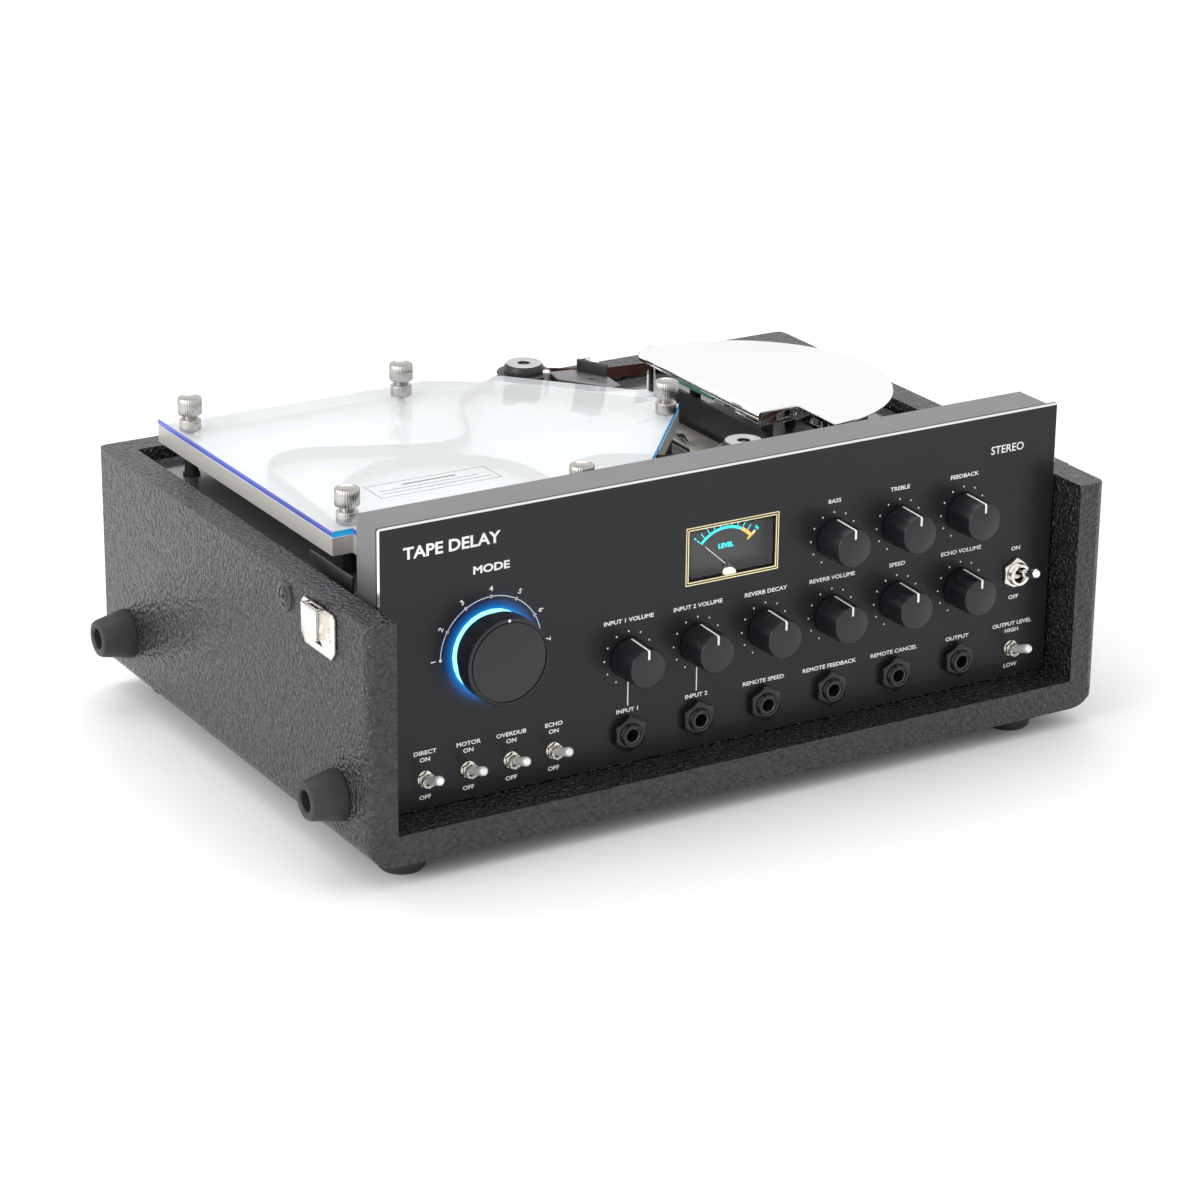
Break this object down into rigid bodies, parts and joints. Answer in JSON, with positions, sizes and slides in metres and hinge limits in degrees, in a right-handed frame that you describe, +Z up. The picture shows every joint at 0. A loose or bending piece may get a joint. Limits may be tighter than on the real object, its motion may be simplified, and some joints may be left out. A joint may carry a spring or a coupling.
{
  "type": "tape echo machine",
  "caption": "Portable tape echo machine in a black covered case, with an upright control panel of knobs, jacks and a level meter, and an open deck with tape tank and heads.",
  "frame": {"origin": "on the floor below the middle of the case", "axes": "+X to the right seen from the front, +Y from the control panel to the back, +Z up"},
  "size_m": [0.444, 0.29, 0.166],
  "materials": {
    "covering": "embossed black vinyl over plywood, fine grain",
    "rubber": "matt moulded rubber",
    "nickel": "bright nickel plate",
    "panel_paint": "satin charcoal paint, bright bevelled edge",
    "frame_metal": "satin grey anodised",
    "knob_plastic": "satin black",
    "black_plastic": "moulded black",
    "lever_metal": "polished",
    "ring_light": "clear ring lit pale blue",
    "circuit": "green circuit board with parts",
    "meter_housing": "cream rim lit from inside",
    "needle": "thin needle",
    "clear_window": "clear window",
    "clear_acrylic": "clear acrylic sheet whose edges glow blue",
    "tray_metal": "pale satin coat",
    "deck_metal": "smooth dark gloss",
    "chrome": "mirror polished",
    "tape_film": "brown magnetic tape",
    "roller_rubber": "black rubber with a pale cap",
    "steel": "turned steel",
    "head_housing": "black with bright heads",
    "copper": "copper winding under film",
    "handle": "moulded black strap"
  },
  "bodies": {
    "machine": {"cabinet": "covering", "carry_handle": "handle", "front_panel": "panel_paint", "panel_frame": "frame_metal", "mode_light_ring": "ring_light", "power_switch": "nickel", "control_board": "circuit", "meter_housing": "meter_housing", "meter_window": "clear_window", "deck_plate": "deck_metal", "tape_tank": "tray_metal", "tank_lid": "clear_acrylic", "tape_loop": "tape_film", "tape_guide": "chrome", "drive_motor": "steel", "head_block": "head_housing", "head_cover": "chrome", "power_inlet": "black_plastic", "power_transformer": "copper", "latch_left": "nickel", "latch_right": "nickel", "foot_front_left": "rubber", "foot_front_right": "rubber", "foot_rear_left": "rubber", "foot_rear_right": "rubber", "side_foot_front": "rubber", "side_foot_rear": "rubber", "jack_1": "black_plastic", "jack_2": "black_plastic", "jack_3": "black_plastic", "jack_4": "black_plastic", "jack_5": "black_plastic", "jack_6": "black_plastic"},
    "input_knob_1": {"input_knob_1": "knob_plastic"},
    "input_knob_2": {"input_knob_2": "knob_plastic"},
    "reverb_decay_knob": {"reverb_decay_knob": "knob_plastic"},
    "reverb_volume_knob": {"reverb_volume_knob": "knob_plastic"},
    "speed_knob": {"speed_knob": "knob_plastic"},
    "echo_volume_knob": {"echo_volume_knob": "knob_plastic"},
    "bass_knob": {"bass_knob": "knob_plastic"},
    "treble_knob": {"treble_knob": "knob_plastic"},
    "feedback_knob": {"feedback_knob": "knob_plastic"},
    "mode_knob": {"mode_knob": "knob_plastic"},
    "direct_toggle": {"direct_toggle": "lever_metal"},
    "motor_toggle": {"motor_toggle": "lever_metal"},
    "overdub_toggle": {"overdub_toggle": "lever_metal"},
    "echo_toggle": {"echo_toggle": "lever_metal"},
    "output_level_toggle": {"output_level_toggle": "lever_metal"},
    "power_toggle": {"power_toggle": "lever_metal"},
    "meter_needle": {"meter_needle": "needle"},
    "thumbscrew_1": {"thumbscrew_1": "nickel"},
    "thumbscrew_2": {"thumbscrew_2": "nickel"},
    "thumbscrew_3": {"thumbscrew_3": "nickel"},
    "thumbscrew_4": {"thumbscrew_4": "nickel"},
    "thumbscrew_5": {"thumbscrew_5": "nickel"},
    "capstan": {"capstan": "steel"},
    "pinch_arm": {"pinch_arm": "steel"},
    "pinch_roller": {"pinch_roller": "roller_rubber"},
    "guide_roller_rear": {"guide_roller_rear": "roller_rubber"},
    "guide_roller_front": {"guide_roller_front": "roller_rubber"}
  },
  "joints": [
    {"name": "mode_turn", "type": "hinge", "parent": "machine", "child": "mode_knob", "pos_m": [-0.13085, -0.125, 0.0974], "axis": [0, 1, 0], "range_deg": [-90, 90]},
    {"name": "input_1_turn", "type": "hinge", "parent": "machine", "child": "input_knob_1", "pos_m": [-0.05725, -0.125, 0.0797], "axis": [0, 1, 0], "range_deg": [-150, 150]},
    {"name": "input_2_turn", "type": "hinge", "parent": "machine", "child": "input_knob_2", "pos_m": [-0.01912, -0.125, 0.0797], "axis": [0, 1, 0], "range_deg": [-150, 150]},
    {"name": "reverb_decay_turn", "type": "hinge", "parent": "machine", "child": "reverb_decay_knob", "pos_m": [0.01901, -0.125, 0.0797], "axis": [0, 1, 0], "range_deg": [-150, 150]},
    {"name": "reverb_volume_turn", "type": "hinge", "parent": "machine", "child": "reverb_volume_knob", "pos_m": [0.05714, -0.125, 0.0797], "axis": [0, 1, 0], "range_deg": [-150, 150]},
    {"name": "speed_turn", "type": "hinge", "parent": "machine", "child": "speed_knob", "pos_m": [0.09527, -0.125, 0.0797], "axis": [0, 1, 0], "range_deg": [-150, 150]},
    {"name": "echo_volume_turn", "type": "hinge", "parent": "machine", "child": "echo_volume_knob", "pos_m": [0.1334, -0.125, 0.0797], "axis": [0, 1, 0], "range_deg": [-150, 150]},
    {"name": "bass_turn", "type": "hinge", "parent": "machine", "child": "bass_knob", "pos_m": [0.05714, -0.125, 0.1188], "axis": [0, 1, 0], "range_deg": [-150, 150]},
    {"name": "treble_turn", "type": "hinge", "parent": "machine", "child": "treble_knob", "pos_m": [0.09527, -0.125, 0.1188], "axis": [0, 1, 0], "range_deg": [-150, 150]},
    {"name": "feedback_turn", "type": "hinge", "parent": "machine", "child": "feedback_knob", "pos_m": [0.1334, -0.125, 0.1188], "axis": [0, 1, 0], "range_deg": [-150, 150]},
    {"name": "direct_flip", "type": "hinge", "parent": "machine", "child": "direct_toggle", "pos_m": [-0.1655, -0.127, 0.0408], "axis": [1, 0, 0], "range_deg": [0, 40]},
    {"name": "motor_flip", "type": "hinge", "parent": "machine", "child": "motor_toggle", "pos_m": [-0.1428, -0.127, 0.0408], "axis": [1, 0, 0], "range_deg": [0, 40]},
    {"name": "overdub_flip", "type": "hinge", "parent": "machine", "child": "overdub_toggle", "pos_m": [-0.1201, -0.127, 0.0408], "axis": [1, 0, 0], "range_deg": [0, 40]},
    {"name": "echo_flip", "type": "hinge", "parent": "machine", "child": "echo_toggle", "pos_m": [-0.0974, -0.127, 0.0408], "axis": [1, 0, 0], "range_deg": [0, 40]},
    {"name": "output_level_flip", "type": "hinge", "parent": "machine", "child": "output_level_toggle", "pos_m": [0.167, -0.127, 0.0408], "axis": [1, 0, 0], "range_deg": [0, 40]},
    {"name": "power_flip", "type": "hinge", "parent": "machine", "child": "power_toggle", "pos_m": [0.167, -0.127, 0.0812], "axis": [1, 0, 0], "range_deg": [0, 36]},
    {"name": "needle_swing", "type": "hinge", "parent": "machine", "child": "meter_needle", "pos_m": [-0.00016, -0.12045, 0.11375], "axis": [0, 1, 0], "range_deg": [0, 96], "stiffness_Nm_per_rad": 0.00002},
    {"name": "thumbscrew_1_turn", "type": "hinge", "parent": "machine", "child": "thumbscrew_1", "pos_m": [-0.1745, 0.1, 0.1453], "axis": [0, 0, 1], "continuous": true},
    {"name": "thumbscrew_2_turn", "type": "hinge", "parent": "machine", "child": "thumbscrew_2", "pos_m": [-0.0573, 0.099, 0.1453], "axis": [0, 0, 1], "continuous": true},
    {"name": "thumbscrew_3_turn", "type": "hinge", "parent": "machine", "child": "thumbscrew_3", "pos_m": [0.0454, 0.0092, 0.1453], "axis": [0, 0, 1], "continuous": true},
    {"name": "thumbscrew_4_turn", "type": "hinge", "parent": "machine", "child": "thumbscrew_4", "pos_m": [-0.169, -0.0575, 0.1453], "axis": [0, 0, 1], "continuous": true},
    {"name": "thumbscrew_5_turn", "type": "hinge", "parent": "machine", "child": "thumbscrew_5", "pos_m": [-0.0575, -0.0815, 0.1453], "axis": [0, 0, 1], "continuous": true},
    {"name": "capstan_spin", "type": "hinge", "parent": "machine", "child": "capstan", "pos_m": [0.11111, -0.03592, 0.13797], "axis": [0, 0, 1], "continuous": true},
    {"name": "pinch_arm_swing", "type": "hinge", "parent": "machine", "child": "pinch_arm", "pos_m": [0.13931, -0.0389, 0.128], "axis": [0, 0, 1], "range_deg": [0, 12], "stiffness_Nm_per_rad": 0.02},
    {"name": "pinch_spin", "type": "hinge", "parent": "pinch_arm", "child": "pinch_roller", "pos_m": [0.11582, -0.04803, 0.13797], "axis": [0, 0, 1], "continuous": true},
    {"name": "rear_roller_spin", "type": "hinge", "parent": "machine", "child": "guide_roller_rear", "pos_m": [0.0215, 0.111, 0.13797], "axis": [0, 0, 1], "continuous": true},
    {"name": "front_roller_spin", "type": "hinge", "parent": "machine", "child": "guide_roller_front", "pos_m": [0.053, -0.051, 0.13797], "axis": [0, 0, 1], "continuous": true}
  ],
  "couplings": [
    {"joint": "pinch_spin", "follows": "capstan_spin", "ratio": -0.3333},
    {"joint": "rear_roller_spin", "follows": "capstan_spin", "ratio": 0.3},
    {"joint": "front_roller_spin", "follows": "capstan_spin", "ratio": 0.3}
  ]
}
